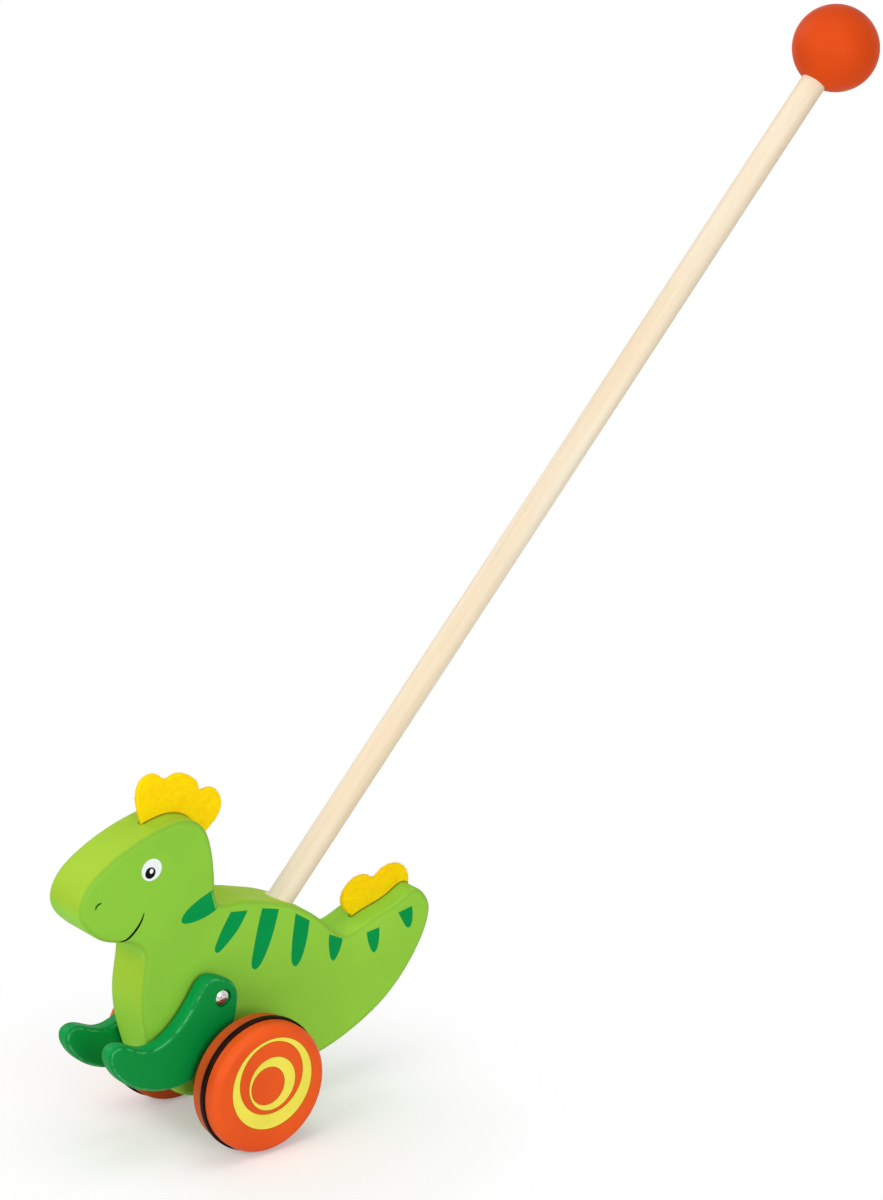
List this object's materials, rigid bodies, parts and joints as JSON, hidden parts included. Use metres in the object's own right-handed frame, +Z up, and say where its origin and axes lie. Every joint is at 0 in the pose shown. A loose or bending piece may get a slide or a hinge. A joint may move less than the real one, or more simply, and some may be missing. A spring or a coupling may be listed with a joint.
{
  "type": "toddler push toy",
  "caption": "Wooden push toy: a flat-sided dinosaur on wheels whose legs are kicked up by pegs as it rolls, with felt combs and a long slanting stick that ends in a ball grip.",
  "frame": {"origin": "on the floor, straight under the middle of the axle", "axes": "+X towards the tail and the stick's ball, so the dinosaur looks along -X; +Y towards its right side; +Z up"},
  "size_m": [0.5195, 0.098, 0.518],
  "materials": {
    "light_green_paint": "smooth satin paint on wood, with darker green stripes and a painted face",
    "dark_green_paint": "smooth satin paint on wood",
    "orange_paint": "smooth semi-gloss paint on wood, with yellow rings on the wheels' outer faces",
    "bare_wood": "sanded pale wood",
    "yellow_felt": "pressed wool-like felt",
    "black_rubber": "smooth",
    "bright_steel": "bright domed head",
    "steel": "plain turned bar",
    "nylon": "plain"
  },
  "bodies": {
    "toy": {"body": "light_green_paint", "head_comb": "yellow_felt", "tail_comb": "yellow_felt", "stick": "bare_wood", "handle_ball": "orange_paint", "left_leg_pin": "bright_steel", "left_leg_washer": "nylon", "right_leg_pin": "bright_steel", "right_leg_washer": "nylon"},
    "wheelset": {"axle": "steel", "left_wheel": "orange_paint", "left_wheel_ring": "black_rubber", "left_drive_peg": "orange_paint", "left_axle_spacer": "bare_wood", "right_wheel": "orange_paint", "right_wheel_ring": "black_rubber", "right_drive_peg": "orange_paint", "right_axle_spacer": "bare_wood"},
    "left_leg": {"left_leg": "dark_green_paint"},
    "right_leg": {"right_leg": "dark_green_paint"}
  },
  "joints": [
    {"name": "wheel_roll", "type": "hinge", "parent": "toy", "child": "wheelset", "pos_m": [0, 0, 0.0356], "axis": [0, 1, 0], "continuous": true},
    {"name": "left_leg_swing", "type": "hinge", "parent": "toy", "child": "left_leg", "pos_m": [-0.0105, 0, 0.0798], "axis": [0, 1, 0], "range_deg": [-4.5, 239.5]},
    {"name": "right_leg_swing", "type": "hinge", "parent": "toy", "child": "right_leg", "pos_m": [-0.0105, 0, 0.0798], "axis": [0, 1, 0], "range_deg": [-0.7, 243.3]}
  ]
}
